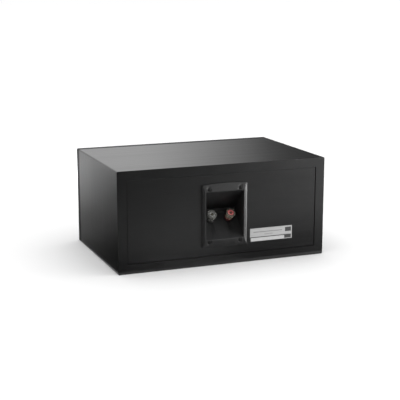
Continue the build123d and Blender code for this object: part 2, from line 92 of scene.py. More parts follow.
def clouds(tree, coordinates, scale, detail):
    """Soft irregular pattern, between 0 and 1."""
    texture = tree.nodes.new("ShaderNodeTexNoise")
    texture.inputs["Scale"].default_value = scale
    texture.inputs["Detail"].default_value = detail
    tree.links.new(coordinates, texture.inputs["Vector"])
    return texture.outputs["Fac"]


def tones(tree, shader, pattern, dark, light, low=0.35, high=0.65):
    """The colour runs from a dark to a light tone with a pattern."""
    ramp = tree.nodes.new("ShaderNodeValToRGB")
    ramp.color_ramp.elements[0].position = low
    ramp.color_ramp.elements[0].color = (*dark, 1)
    ramp.color_ramp.elements[1].position = high
    ramp.color_ramp.elements[1].color = (*light, 1)
    tree.links.new(pattern, ramp.inputs["Fac"])
    tree.links.new(ramp.outputs["Color"], shader.inputs["Base Color"])


def roughen(tree, shader, pattern, low, high):
    """The roughness runs from low to high over the middle of a pattern."""
    reach = tree.nodes.new("ShaderNodeMapRange")
    reach.inputs["From Min"].default_value = 0.3
    reach.inputs["From Max"].default_value = 0.7
    reach.inputs["To Min"].default_value = low
    reach.inputs["To Max"].default_value = high
    tree.links.new(pattern, reach.inputs["Value"])
    tree.links.new(reach.outputs["Result"], shader.inputs["Roughness"])


def relief(tree, shader, pattern, depth, strength, below=None):
    """Surface relief of a pattern, laid over another relief where one is given."""
    bump = tree.nodes.new("ShaderNodeBump")
    bump.inputs["Distance"].default_value = depth
    bump.inputs["Strength"].default_value = strength
    tree.links.new(pattern, bump.inputs["Height"])
    if below:
        tree.links.new(below, bump.inputs["Normal"])
    tree.links.new(bump.outputs["Normal"], shader.inputs["Normal"])
    return bump.outputs["Normal"]


def dress(finish, *names):
    """The finish goes on these pieces of the solid model."""
    for name in names:
        solid = frame["nodes"][name]
        solid.data.materials.clear()
        solid.data.materials.append(finish)


def vinyl_finish(name, pores, bands):
    """Black vinyl film; pores and bands are the fine and the broad grain, as scales along each axis."""
    finish, tree, shader, coordinates = start_finish(name, 0.42)
    fine = clouds(tree, stretched(tree, coordinates, pores), 1.0, 4.0)
    broad = clouds(tree, stretched(tree, coordinates, bands), 1.0, 2.0)
    pebble = clouds(tree, coordinates, 2600.0, 1.0)
    tones(tree, shader, fine, (0.0030, 0.0030, 0.0031), (0.0062, 0.0062, 0.0064))
    roughen(tree, shader, broad, 0.29, 0.33)
    first = relief(tree, shader, fine, 0.0001, 0.25)
    relief(tree, shader, pebble, 0.00005, 0.2, first)
    return finish


dress(vinyl_finish("wrap_vinyl", (16, 1500, 16), (5, 260, 5)), "cabinet_wrap")

# Front baffle: fibreboard with recesses routed for the driver flanges.
# It is sprayed in matt black lacquer and glued over the wrap's front edge by its step.

baffle_finish, tree, shader, coordinates = start_finish("baffle_matt_lacquer", 0.6)
orange_peel = clouds(tree, coordinates, 420.0, 1.0)
spray = clouds(tree, coordinates, 55.0, 3.0)
tones(tree, shader, spray, (0.007, 0.007, 0.0075), (0.012, 0.012, 0.0125))
roughen(tree, shader, spray, 0.56, 0.66)
shader.inputs["Specular IOR Level"].default_value = 0.3
relief(tree, shader, orange_peel, 0.0002, 0.12)
dress(baffle_finish, "front_baffle")

# Grille sockets: soft rubber cups pressed into blind holes near the baffle's corners.
# The pegs of a grille push into their bores.

socket_finish, tree, shader, coordinates = start_finish("socket_soft_rubber", 0.62)
dusting = clouds(tree, coordinates, 900.0, 3.0)
tones(tree, shader, dusting, (0.010, 0.010, 0.010), (0.022, 0.022, 0.021))
roughen(tree, shader, dusting, 0.55, 0.7)
relief(tree, shader, dusting, 0.0001, 0.2)
dress(socket_finish, "grille_sockets")

# Woofers: two alike, each with a pressed steel basket behind a flush round flange.
# The flange is powder-coated black, and four screws hold it in the baffle's recess.

WOOFERS = {"left": -0.109, "right": 0.109}
BAFFLE_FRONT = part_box("front_baffle")[0].y
DRIVER_HEIGHT = sum(corner.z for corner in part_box("tweeter_faceplate")) / 2

coat_finish, tree, shader, coordinates = start_finish("basket_powder_coat", 0.45)
powder = clouds(tree, coordinates, 1500.0, 2.0)
patches = clouds(tree, coordinates, 40.0, 2.0)
tones(tree, shader, patches, (0.008, 0.008, 0.0085), (0.013, 0.013, 0.0135))
roughen(tree, shader, powder, 0.4, 0.52)
relief(tree, shader, powder, 0.0001, 0.25)
shader.inputs["Specular IOR Level"].default_value = 0.4
dress(coat_finish, "woofer_left_basket", "woofer_right_basket")

# Woofer motors: a ferrite ring between two zinc-plated steel plates, with a pole through the middle.
# The coil is copper wire on a thin former, centred by a corrugated cloth spider.


def ribs(tree, coordinates, axis, scale, distortion=0.0):
    """Even ribs across one axis, as of wound wire or threads, between 0 and 1."""
    texture = tree.nodes.new("ShaderNodeTexWave")
    texture.bands_direction = axis
    texture.inputs["Scale"].default_value = scale
    texture.inputs["Distortion"].default_value = distortion
    tree.links.new(coordinates, texture.inputs["Vector"])
    return texture.outputs["Fac"]


zinc_finish, tree, shader, coordinates = start_finish("motor_zinc", 0.32, 1.0)
crystals = clouds(tree, coordinates, 260.0, 3.0)
tones(tree, shader, crystals, (0.46, 0.46, 0.44), (0.62, 0.62, 0.60))
roughen(tree, shader, crystals, 0.24, 0.42)
relief(tree, shader, crystals, 0.00003, 0.1)

ferrite_finish, tree, shader, coordinates = start_finish("motor_ferrite", 0.75)
sinter = clouds(tree, coordinates, 700.0, 5.0)
tones(tree, shader, sinter, (0.022, 0.022, 0.023), (0.052, 0.051, 0.050))
relief(tree, shader, sinter, 0.0003, 0.4)

winding_finish, tree, shader, coordinates = start_finish("winding_copper", 0.28, 1.0)
turns = ribs(tree, coordinates, "Y", 700.0, 0.4)
tones(tree, shader, turns, (0.42, 0.16, 0.07), (0.80, 0.38, 0.20), 0.1, 0.8)
relief(tree, shader, turns, 0.0003, 0.5)

spider_finish, tree, shader, coordinates = start_finish("spider_resin_cloth", 0.85)
threads = clouds(tree, stretched(tree, coordinates, (4, 1, 1)), 900.0, 2.0)
tones(tree, shader, threads, (0.42, 0.27, 0.09), (0.66, 0.45, 0.17))
relief(tree, shader, threads, 0.0003, 0.5)

for side in WOOFERS:
    dress(zinc_finish, f"woofer_{side}_top_plate", f"woofer_{side}_yoke")
    dress(ferrite_finish, f"woofer_{side}_magnet")
    dress(winding_finish, f"woofer_{side}_voice_coil")
    dress(spider_finish, f"woofer_{side}_spider")

# Woofer surrounds: a half-roll of moulded butyl rubber with a flat lip on each side.
# The outer lip is glued to the basket and the inner one to the cone, so the roll flexes between them.


def lathe(name, outline, around):
    """A ring drawn out through each (radius, height) in millimetres, as if turned on a lathe."""
    bpy.ops.object.select_all(action="DESELECT")
    radius, height = max(outline[0][0], 0.001), outline[0][1]
    bpy.ops.mesh.primitive_circle_add(vertices=around, radius=radius)
    piece = bpy.context.object
    piece.name = name
    bpy.ops.object.mode_set(mode="EDIT")
    bpy.ops.mesh.select_mode(type="VERT")
    bpy.ops.mesh.select_all(action="SELECT")
    bpy.ops.transform.translate(value=(0, 0, height))
    for next_radius, next_height in outline[1:]:
        next_radius = max(next_radius, 0.001)
        bpy.ops.mesh.extrude_region_move()
        bpy.ops.transform.translate(value=(0, 0, next_height - height))
        bpy.ops.transform.resize(value=(next_radius / radius, next_radius / radius, 1))
        radius, height = next_radius, next_height
    bpy.ops.mesh.select_all(action="SELECT")
    bpy.ops.mesh.remove_doubles(threshold=0.003)
    bpy.ops.mesh.normals_make_consistent(inside=False)
    bpy.ops.object.mode_set(mode="OBJECT")
    return piece


def pick(piece):
    """Only this piece is selected, so operators act on it alone."""
    bpy.ops.object.select_all(action="DESELECT")
    piece.select_set(True)
    bpy.context.view_layer.objects.active = piece


def smooth(piece, angle):
    """Rounded surfaces shade softly and edges sharper than the angle stay crisp."""
    pick(piece)
    bpy.ops.object.shade_smooth_by_angle(angle=radians(angle))


def set_in(piece, spot, turn):
    """The piece comes off the bench in millimetres and goes to its spot, which its mesh then keeps."""
    piece.scale = (0.001, 0.001, 0.001)
    piece.location = spot
    piece.rotation_euler = turn
    pick(piece)
    bpy.ops.object.transform_apply(location=True, rotation=True, scale=True)


def copy_of(piece, name):
    """Another of the same piece, with its own mesh."""
    pick(piece)
    bpy.ops.object.duplicate(linked=False)
    bpy.context.object.name = name
    return bpy.context.object


def hand_over(piece, finish, slot, body, *replaced):
    """The piece gets its finish, rides on its body and stands for solids of the model."""
    piece.data.materials.clear()
    piece.data.materials.append(finish)
    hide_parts(*replaced)
    if body:
        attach(piece, body)


FACING_FRONT = (pi / 2, 0, 0)
ROLL_MIDDLE = 42.2
ROLL_RADIUS = 4.2
ROLL_WALL = 0.8
LIP_INNER = 34.3
LIP_OUTER = 51.4
LIP_BELOW = -1.2
LIP_ROUND = 0.3

butyl_finish, tree, shader, coordinates = start_finish("surround_butyl", 0.5)
bloom = clouds(tree, coordinates, 130.0, 4.0)
skin = clouds(tree, coordinates, 2200.0, 1.0)
tones(tree, shader, bloom, (0.006, 0.006, 0.0063), (0.011, 0.011, 0.011))
roughen(tree, shader, bloom, 0.34, 0.46)
relief(tree, shader, skin, 0.00006, 0.2)

roll_angles = [radians(180 - 6 * step) for step in range(31)]
over_roll = [
    (ROLL_MIDDLE + ROLL_RADIUS * cos(angle), max(LIP_BELOW + ROLL_RADIUS * sin(angle), 0.0))
    for angle in roll_angles
]
inner_radius = ROLL_RADIUS - ROLL_WALL
under_roll = [
    (ROLL_MIDDLE + inner_radius * cos(angle), LIP_BELOW + inner_radius * sin(angle))
    for angle in reversed(roll_angles)
]
surround_outline = [
    (LIP_INNER, LIP_BELOW),
    (LIP_INNER, -LIP_ROUND),
    (LIP_INNER + LIP_ROUND, 0.0),
    *over_roll,
    (LIP_OUTER - LIP_ROUND, 0.0),
    (LIP_OUTER, -LIP_ROUND),
    (LIP_OUTER, LIP_BELOW),
    *under_roll,
    (LIP_INNER, LIP_BELOW),
]
surround = lathe("woofer_left_half_roll", surround_outline, 144)
surrounds = {"left": surround, "right": copy_of(surround, "woofer_right_half_roll")}
for side, spot_x in WOOFERS.items():
    surround = surrounds[side]
    set_in(surround, (spot_x, BAFFLE_FRONT, DRIVER_HEIGHT), FACING_FRONT)
    smooth(surround, 50)
    hand_over(surround, butyl_finish, "surround_rubber", None, f"woofer_{side}_surround")
    outer_edge = (spot_x + (ROLL_MIDDLE + ROLL_RADIUS) / 1000, BAFFLE_FRONT, DRIVER_HEIGHT)
    inner_edge = (spot_x + (ROLL_MIDDLE - ROLL_RADIUS) / 1000, BAFFLE_FRONT, DRIVER_HEIGHT)
    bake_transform(surround, "cabinet", f"woofer_{side}_diaphragm", start=outer_edge, end=inner_edge)
    # The roll gives way alike all round, so a point follows the cone by its distance from the axis.
    follow = surround.data.attributes["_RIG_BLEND"]
    for vertex in surround.data.vertices:
        radius = sqrt((vertex.co.x - spot_x) ** 2 + (vertex.co.z - DRIVER_HEIGHT) ** 2) * 1000
        share = (ROLL_MIDDLE + ROLL_RADIUS - radius) / (2 * ROLL_RADIUS)
        share = min(max(share, 0.0), 1.0)
        follow.data[vertex.index].value = share * share * (3 - 2 * share)

# Woofer cones: injection-moulded polypropylene, a straight cone with a raised centre in one piece.
# The rim is glued under the surround's inner lip, and the coil's former into a neck behind.


def on_ball(centre, ball, radius):
    """Height of a ball's surface at this radius from the axis, with its centre at this height."""
    return centre + sqrt(ball**2 - radius**2)


cone_finish, tree, shader, coordinates = start_finish("cone_polypropylene", 0.38)
flow = clouds(tree, coordinates, 70.0, 4.0)
mica = clouds(tree, coordinates, 1800.0, 2.0)
tones(tree, shader, flow, (0.018, 0.018, 0.019), (0.030, 0.030, 0.032))
roughen(tree, shader, mica, 0.28, 0.38)
relief(tree, shader, mica, 0.00008, 0.2)

CONE_RIM = 38.0
CONE_INNER = 34.3
CONE_DEPTH = 13.3
CONE_SKIN = 1.2
CENTRE_RADIUS = 16.5
CENTRE_HEIGHT = 5.0
NECK_OUTER = 14.5
NECK_INNER = 13.3
NECK_LENGTH = 4.0
RIM_EASE = (0.5, 0.25)
FOOT_EASE = (0.4, 0.35)
ball = (CENTRE_RADIUS**2 + CENTRE_HEIGHT**2) / (2 * CENTRE_HEIGHT)
foot = LIP_BELOW - CONE_DEPTH
ball_centre = foot + CENTRE_HEIGHT - ball
crown = [CENTRE_RADIUS * step / 12 for step in range(12, -1, -1)]
cone_slope = CONE_DEPTH / (CONE_INNER - CENTRE_RADIUS)
neck_top = foot - cone_slope * (CENTRE_RADIUS - NECK_OUTER) - CONE_SKIN
cone_outline = [
    (0.0, foot + CENTRE_HEIGHT - CONE_SKIN),
    (NECK_INNER / 2, on_ball(ball_centre, ball - CONE_SKIN, NECK_INNER / 2)),
    (NECK_INNER, on_ball(ball_centre, ball - CONE_SKIN, NECK_INNER)),
    (NECK_INNER, neck_top - NECK_LENGTH),
    (NECK_OUTER, neck_top - NECK_LENGTH),
    (NECK_OUTER, neck_top),
    (CONE_INNER, LIP_BELOW - CONE_SKIN),
    (CONE_RIM, LIP_BELOW - CONE_SKIN),
    (CONE_RIM, LIP_BELOW),
    (CONE_INNER, LIP_BELOW),
    (CONE_INNER - RIM_EASE[0], LIP_BELOW - RIM_EASE[1]),
    (CENTRE_RADIUS + FOOT_EASE[0], foot + FOOT_EASE[1]),
    *[(radius, on_ball(ball_centre, ball, radius)) for radius in crown],
]
cone = lathe("woofer_left_cone_moulding", cone_outline, 128)
cones = {"left": cone, "right": copy_of(cone, "woofer_right_cone_moulding")}
for side, spot_x in WOOFERS.items():
    set_in(cones[side], (spot_x, BAFFLE_FRONT, DRIVER_HEIGHT), FACING_FRONT)
    smooth(cones[side], 30)
    hand_over(cones[side], cone_finish, "cone", f"woofer_{side}_diaphragm", f"woofer_{side}_cone")

# Tweeter faceplate: moulded in satin black plastic, flush with the baffle.
# Its mouth curves in to the dome, and four screws hold it.


def shaped_by(piece, kind, **values):
    """A modifier on the piece, set up and applied."""
    modifier = piece.modifiers.new(kind.title(), kind)
    for key, value in values.items():
        setattr(modifier, key, value)
    pick(piece)
    bpy.ops.object.modifier_apply(modifier=modifier.name)


def cut_away(piece, cutter):
    """The cutter's shape is taken out of the piece, and the cutter is put away."""
    shaped_by(piece, "BOOLEAN", operation="DIFFERENCE", solver="EXACT", object=cutter)
    bpy.data.objects.remove(cutter)


def drill(name, spots, radius, low, high, around=40, turn=(0, 0, 0)):
    """A set of round bits, in millimetres, joined to one cutter."""
    bits = []
    for spot in spots:
        bits.append(lathe(name, [(0, low), (radius, low), (radius, high), (0, high)], around))
        bits[-1].location = spot
        bits[-1].rotation_euler = turn
    bpy.ops.object.select_all(action="DESELECT")
    for bit in bits:
        bit.select_set(True)
    bpy.context.view_layer.objects.active = bits[0]
    bpy.ops.object.transform_apply(location=True, rotation=True, scale=True)
    if len(bits) > 1:
        bpy.ops.object.join()
    return bits[0]


faceplate_finish, tree, shader, coordinates = start_finish("faceplate_satin", 0.4)
spark = clouds(tree, coordinates, 1900.0, 2.0)
cast = clouds(tree, coordinates, 60.0, 3.0)
tones(tree, shader, cast, (0.012, 0.012, 0.013), (0.019, 0.019, 0.020))
roughen(tree, shader, spark, 0.34, 0.46)
relief(tree, shader, spark, 0.00008, 0.25)

GUIDE_MOUTH = 26.0
GUIDE_THROAT = 14.0
GUIDE_DEPTH = 6.0
GUIDE_EASE = 0.6
RIM_SEAT = 18.5
RIM_LEVEL = -7.2
BOSS_RADIUS = 28.0
BOSS_BACK = -8.0
PLATE_RADIUS = 43.0
PLATE_BACK = -4.0
PLATE_EDGE = 0.4
TWEETER_CIRCLE = 35.65
SCREW_HOLE = 2.0
SINK_RADIUS = 3.3
SINK_FLOOR = -2.0
guide = [radians(7.5 * step) for step in range(13)]
faceplate_outline = [
    *[
        (GUIDE_MOUTH - (GUIDE_MOUTH - GUIDE_THROAT) * sin(angle), -GUIDE_DEPTH * (1 - cos(angle)))
        for angle in guide
    ],
    (GUIDE_THROAT, RIM_LEVEL),
    (RIM_SEAT, RIM_LEVEL),
    (RIM_SEAT, BOSS_BACK),
    (BOSS_RADIUS, BOSS_BACK),
    (BOSS_RADIUS, PLATE_BACK),
    (PLATE_RADIUS, PLATE_BACK),
    (PLATE_RADIUS, -PLATE_EDGE),
    (PLATE_RADIUS - PLATE_EDGE, 0.0),
    (GUIDE_MOUTH + GUIDE_EASE, 0.0),
    (GUIDE_MOUTH, 0.0),
]
faceplate = lathe("tweeter_guide_plate", faceplate_outline, 128)
quarters = [radians(45 + 90 * step) for step in range(4)]
tweeter_spots = [(TWEETER_CIRCLE * cos(turn), TWEETER_CIRCLE * sin(turn), 0) for turn in quarters]
cut_away(faceplate, drill("screw_sink_bit", tweeter_spots, SINK_RADIUS, SINK_FLOOR, 5.0))
cut_away(faceplate, drill("screw_hole_bit", tweeter_spots, SCREW_HOLE, BOSS_BACK - 1, SINK_FLOOR + 1))
set_in(faceplate, (0, BAFFLE_FRONT, DRIVER_HEIGHT), FACING_FRONT)
smooth(faceplate, 30)
hand_over(faceplate, faceplate_finish, "faceplate_plastic", "cabinet", "tweeter_faceplate")

# Tweeter dome: thin cloth pressed to a dome with a small roll, and coated so that it holds air.
# Its flat rim is clamped behind the faceplate, in front of the steel cup that holds the magnet.

dome_finish, tree, shader, coordinates = start_finish("dome_coated_cloth", 0.6)
weave = tree.nodes.new("ShaderNodeMath")
weave.operation = "MAXIMUM"
tree.links.new(ribs(tree, coordinates, "X", 900.0), weave.inputs[0])
tree.links.new(ribs(tree, coordinates, "Z", 900.0), weave.inputs[1])
coating = clouds(tree, coordinates, 160.0, 3.0)
tones(tree, shader, coating, (0.010, 0.010, 0.011), (0.020, 0.020, 0.021))
roughen(tree, shader, coating, 0.5, 0.68)
relief(tree, shader, weave.outputs["Value"], 0.00006, 0.4)
shader.inputs["Sheen Weight"].default_value = 0.15

DOME_RADIUS = 13.4
DOME_HEIGHT = 5.2
DOME_SKIN = 0.6
INNER_RINGS = (6.0, 12.2)
RIM_INSIDE = 12.9
RIM_ROOT = 13.9
RIM_RADIUS = 18.3
rim_top = RIM_LEVEL - 0.02
rim_under = RIM_LEVEL - DOME_SKIN
dome_ball = (DOME_RADIUS**2 + DOME_HEIGHT**2) / (2 * DOME_HEIGHT)
dome_centre = RIM_LEVEL + DOME_HEIGHT - dome_ball
dome_rings = [DOME_RADIUS * step / 14 for step in range(14, -1, -1)]
dome_outline = [
    (0.0, RIM_LEVEL + DOME_HEIGHT - DOME_SKIN),
    *[(radius, on_ball(dome_centre, dome_ball - DOME_SKIN, radius)) for radius in INNER_RINGS],
    (RIM_INSIDE, rim_under),
    (RIM_RADIUS, rim_under),
    (RIM_RADIUS, rim_top),
    (RIM_ROOT, rim_top),
    *[(radius, on_ball(dome_centre, dome_ball, radius)) for radius in dome_rings],
]
dome = lathe("tweeter_soft_dome", dome_outline, 96)
set_in(dome, (0, BAFFLE_FRONT, DRIVER_HEIGHT), FACING_FRONT)
smooth(dome, 40)
hand_over(dome, dome_finish, "dome_cloth", "cabinet", "tweeter_dome")
dress(winding_finish, "tweeter_voice_coil")
dress(zinc_finish, "tweeter_pole_plate", "tweeter_cup")
dress(ferrite_finish, "tweeter_magnet")

# Driver screws: twelve blackened steel wood screws with pan heads and cross recesses.
# Each head sits in a sink, just under the face of its flange.

screw_finish, tree, shader, coordinates = start_finish("screw_black_oxide", 0.55)
oxide = clouds(tree, coordinates, 1400.0, 3.0)
tones(tree, shader, oxide, (0.003, 0.003, 0.0031), (0.007, 0.0069, 0.0067))
roughen(tree, shader, oxide, 0.48, 0.64)
shader.inputs["Specular IOR Level"].default_value = 0.2
relief(tree, shader, oxide, 0.00004, 0.2)


def block(name, half, middle=(0, 0, 0)):
    """A rectangular block of these half sizes about its middle, ready to be shaped."""
    bpy.ops.object.select_all(action="DESELECT")
    bpy.ops.mesh.primitive_cube_add(size=2.0)
    piece = bpy.context.object
    piece.name = name
    bpy.ops.object.mode_set(mode="EDIT")
    bpy.ops.mesh.select_all(action="SELECT")
    bpy.ops.transform.resize(value=half)
    bpy.ops.transform.translate(value=middle)
    bpy.ops.object.mode_set(mode="OBJECT")
    return piece


SHANK_RADIUS = 1.6
THREAD_ROOT = 1.25
THREAD_PITCH = 0.7
POINT_LENGTH = 2.6
NOT_THREADED = 4.0
HEAD_SHARES = [(1.0, 0.45), (0.96, 0.66), (0.84, 0.84), (0.62, 0.96), (0.4, 1.0)]
RECESS_SHARES = (0.575, 0.13, 0.62)
RECESS_TAPER = (0.55, 0.7)


def pan_screw(name, radius, head, under, length):
    """Pan-head screw with a cross recess, standing on its axis; under is the height of the head's seat."""
    threads = []
    for step in range(int((length - NOT_THREADED) / THREAD_PITCH)):
        level = under - length + POINT_LENGTH + THREAD_PITCH * step
        threads += [(THREAD_ROOT, level), (SHANK_RADIUS, level + THREAD_PITCH / 2)]
    outline = [
        (0.0, under - length),
        *threads,
        (SHANK_RADIUS, under),
        (radius, under),
        *[(radius * across, under + head * up) for across, up in HEAD_SHARES],
        (0.0, under + head),
    ]
    screw = lathe(name, outline, 40)
    for turn in (0, pi / 2):
        length_share, width_share, depth_share = RECESS_SHARES
        blade = block("recess_blade", (radius * length_share, radius * width_share, head * depth_share))
        for vertex in blade.data.vertices:
            if vertex.co.z < 0:
                vertex.co.x *= RECESS_TAPER[0]
                vertex.co.y *= RECESS_TAPER[1]
        blade.location = (0, 0, under + head)
        blade.rotation_euler = (0, 0, turn)
        cut_away(screw, blade)
    return screw


def drive_in(screw, name, spots, facing, first_turn, next_turn):
    """A screw at each spot, all copies of one, and each stopped with its recess at another angle."""
    others = [copy_of(screw, f"{name}_{number:02d}") for number in range(2, len(spots) + 1)]
    for number, (each, spot) in enumerate(zip([screw, *others], spots)):
        each.data.transform(Matrix.Rotation(first_turn + next_turn * number, 4, "Z"))
        set_in(each, spot, facing)
        smooth(each, 35)
        hand_over(each, screw_finish, "black_steel", "cabinet", f"{name}s")


WOOFER_CIRCLE = 55.3
on_baffle = [(x, y) for x, y, z in tweeter_spots]
for spot_x in WOOFERS.values():
    for turn in quarters:
        on_baffle.append((1000 * spot_x + WOOFER_CIRCLE * cos(turn), WOOFER_CIRCLE * sin(turn)))
driver_spots = [(x / 1000, BAFFLE_FRONT, DRIVER_HEIGHT + y / 1000) for x, y in on_baffle]
driver_screw = pan_screw("driver_screw_01", radius=3.0, head=1.8, under=SINK_FLOOR, length=14.0)
drive_in(driver_screw, "driver_screw", driver_spots, FACING_FRONT, 0.0, 0.7)

# Rear panel: a flat board of the same laminate, glued between the ends of the wrap.
# Its edges are eased, so a narrow groove shows round it; one end was cut a little short, and leaves a gap.

panel_finish = vinyl_finish("panel_vinyl", (16, 16, 1500), (5, 5, 260))

FACING_REAR = (pi / 2, 0, pi)
PANEL_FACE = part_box("rear_panel")[1].y
PANEL_HALF = (159.0, 65.0)
PANEL_THICKNESS = 15.0
PANEL_HOLE = (34.4, 39.486)
EASED = 1.0
EASED_TOP = 0.1
GAP = 0.7
PILOT_RADIUS = 1.8
PILOT_END = -13.0
CUP_SCREWS = [(-26.0, -42.0, 0.0), (-26.0, 42.0, 0.0), (26.0, -42.0, 0.0), (26.0, 42.0, 0.0)]


def choose(piece, kind, test):
    """Selects only the faces, edges or vertices whose middle passes the test, in millimetres."""
    bpy.context.view_layer.objects.active = piece
    bpy.ops.object.mode_set(mode="EDIT")
    bpy.ops.mesh.select_mode(type={"polygons": "FACE", "edges": "EDGE", "vertices": "VERT"}[kind])
    bpy.ops.mesh.select_all(action="DESELECT")
    bpy.ops.object.mode_set(mode="OBJECT")
    mesh = piece.data
    for part in getattr(mesh, kind):
        if kind == "vertices":
            middle = part.co
        else:
            corners = [mesh.vertices[index].co for index in part.vertices]
            middle = sum(corners[1:], corners[0].copy()) / len(corners)
        part.select = bool(test(middle))
    bpy.ops.object.mode_set(mode="EDIT")


def on_face(spot):
    """True on the panel's outer face."""
    return spot.z > -EASED / 2


def on_rim(spot):
    """True on the outline of the panel's outer face."""
    return on_face(spot) and any(abs(spot[axis]) > PANEL_HALF[axis] - EASED / 2 for axis in (0, 1))


panel = block("rear_panel_board", (*PANEL_HALF, PANEL_THICKNESS / 2), (0, 0, -PANEL_THICKNESS / 2))
choose(panel, "polygons", on_face)
bpy.ops.mesh.inset(thickness=EASED)
choose(panel, "vertices", on_rim)
bpy.ops.transform.translate(value=(0, 0, -EASED))
choose(panel, "vertices", lambda spot: on_face(spot) and spot.y > 0)
bpy.ops.transform.translate(value=(0, EASED - EASED_TOP, 0))
choose(panel, "vertices", lambda spot: spot.x > 0)
bpy.ops.transform.translate(value=(-GAP, 0, 0))
bpy.ops.object.mode_set(mode="OBJECT")
cut_away(panel, block("cup_hole", (*PANEL_HOLE, 2 * PANEL_THICKNESS)))
cut_away(panel, drill("panel_pilot_bit", CUP_SCREWS, PILOT_RADIUS, PILOT_END, 1.0))
set_in(panel, (0, PANEL_FACE, DRIVER_HEIGHT), FACING_REAR)
smooth(panel, 30)
hand_over(panel, panel_finish, "cabinet_vinyl", "cabinet", "rear_panel")

# Terminal cup: moulded in one shot of black plastic, with a mitred flange whose ends bow out.
# Its tray is a V, so that the binding posts stand on the lower slope, and screws hold it to the panel.

cup_finish, tree, shader, coordinates = start_finish("cup_moulded", 0.42)
eroded = clouds(tree, coordinates, 760.0, 4.0)
handling = clouds(tree, coordinates, 45.0, 3.0)
tones(tree, shader, handling, (0.003, 0.003, 0.0032), (0.006, 0.006, 0.0063))
roughen(tree, shader, eroded, 0.43, 0.57)
relief(tree, shader, eroded, 0.0001, 0.4)

FLANGE_HALF = (37.5, 49.0)
FLANGE_BOW = 2.0
LIP_HALF = (33.2, 39.25)
MOUTH_HALF = (31.8, 37.75)
BACK_HALF = (31.5, 3.75)
GASKET = 0.8
EDGE = 1.0
LIP_HEIGHT = 3.0
TRAY_BOTTOM = -31.0
CUP_WALL = 2.5
OUTSIDE_HALF = (34.0, 39.086)
OUTSIDE_BACK = (34.0, 4.786)
POCKET_RADIUS = 3.2
POCKET_FLOOR = 1.3
POST_HOLE = 4.2
ROUNDED = 0.45
SEAM_PLACE = 35.2
SEAM_LEVEL = 2.8
SEAM_HALF = (0.3, 38.0, 1.0)


def bowed_sheet(name, half):
    """A flat sheet of these half sizes with its two ends bowed out, all of it chosen."""
    bpy.ops.object.select_all(action="DESELECT")
    bpy.ops.mesh.primitive_plane_add(size=2.0)
    sheet = bpy.context.object
    sheet.name = name
    bpy.ops.object.mode_set(mode="EDIT")
    bpy.ops.mesh.select_all(action="SELECT")
    bpy.ops.transform.resize(value=(*half, 1))
    bpy.ops.object.mode_set(mode="OBJECT")
    choose(sheet, "edges", lambda middle: abs(middle.x) < 1)
    bpy.ops.mesh.subdivide(number_cuts=23)
    bpy.ops.object.mode_set(mode="OBJECT")
    for vertex in sheet.data.vertices:
        across = vertex.co.x / half[0]
        vertex.co.y += FLANGE_BOW * (1 - across**2) * (1 if vertex.co.y > 0 else -1)
    choose(sheet, "polygons", lambda middle: True)
    return sheet


def draw_to(piece, half, height):
    """The chosen outline, just inset or extruded, becomes a rectangle of these half sizes at a height."""
    bpy.ops.object.mode_set(mode="OBJECT")
    chosen = [vertex for vertex in piece.data.vertices if vertex.select]
    widest = max(abs(vertex.co.x) for vertex in chosen)
    for vertex in chosen:
        vertex.co.x *= half[0] / widest
        vertex.co.y = half[1] if vertex.co.y > 0 else -half[1]
        vertex.co.z = height
    bpy.ops.object.mode_set(mode="EDIT")


cup = bowed_sheet("terminal_cup_moulding", FLANGE_HALF)
bpy.ops.transform.translate(value=(0, 0, GASKET))
bpy.ops.mesh.extrude_region_move(TRANSFORM_OT_translate={"value": (0, 0, EDGE)})
bpy.ops.mesh.inset(thickness=2.0)
draw_to(cup, LIP_HALF, LIP_HEIGHT)
bpy.ops.mesh.inset(thickness=1.0)
draw_to(cup, MOUTH_HALF, LIP_HEIGHT)
bpy.ops.mesh.extrude_region_move(TRANSFORM_OT_translate={"value": (0, 0, -1.0)})
draw_to(cup, BACK_HALF, TRAY_BOTTOM)
choose(cup, "polygons", lambda middle: abs(middle.z - GASKET) < 0.01)
bpy.ops.mesh.inset(thickness=2.0)
draw_to(cup, OUTSIDE_HALF, GASKET)
bpy.ops.mesh.extrude_region_move(TRANSFORM_OT_translate={"value": (0, 0, -1.0)})
draw_to(cup, OUTSIDE_BACK, TRAY_BOTTOM - CUP_WALL)
bpy.ops.mesh.select_all(action="SELECT")
bpy.ops.mesh.normals_make_consistent(inside=False)
bpy.ops.object.mode_set(mode="OBJECT")
cut_away(cup, drill("pocket_bit", CUP_SCREWS, POCKET_RADIUS, POCKET_FLOOR, 6.0))
cut_away(cup, drill("pilot_bit", CUP_SCREWS, SCREW_HOLE, -0.5, 2.0))

POST_TURN = (-pi / 4, 0, 0)
joints = {joint["name"]: joint for joint in frame["joints"]}
POSTS = {post: joints[f"{post}_post_turn"]["pos_m"] for post in ("black", "red")}
post_seats = [
    (-1000 * x, 1000 * (z - DRIVER_HEIGHT), 1000 * (y - PANEL_FACE)) for x, y, z in POSTS.values()
]
cut_away(cup, drill("post_bit", post_seats, POST_HOLE, -5.0, 2.0, turn=POST_TURN))
shaped_by(cup, "BEVEL", width=ROUNDED, segments=2, limit_method="ANGLE", angle_limit=radians(8))
for x in (-SEAM_PLACE, SEAM_PLACE):
    cut_away(cup, block("seam_bit", SEAM_HALF, (x, 0, SEAM_LEVEL)))
set_in(cup, (0, PANEL_FACE, DRIVER_HEIGHT), FACING_REAR)
smooth(cup, 30)
hand_over(cup, cup_finish, "cup_plastic", "cabinet", "terminal_cup")

# Cup gasket: black foam sheet, die-cut to the flange's outline with a hole for the tray.
# The flange squeezes it against the rear panel, and it stands a little proud all round.

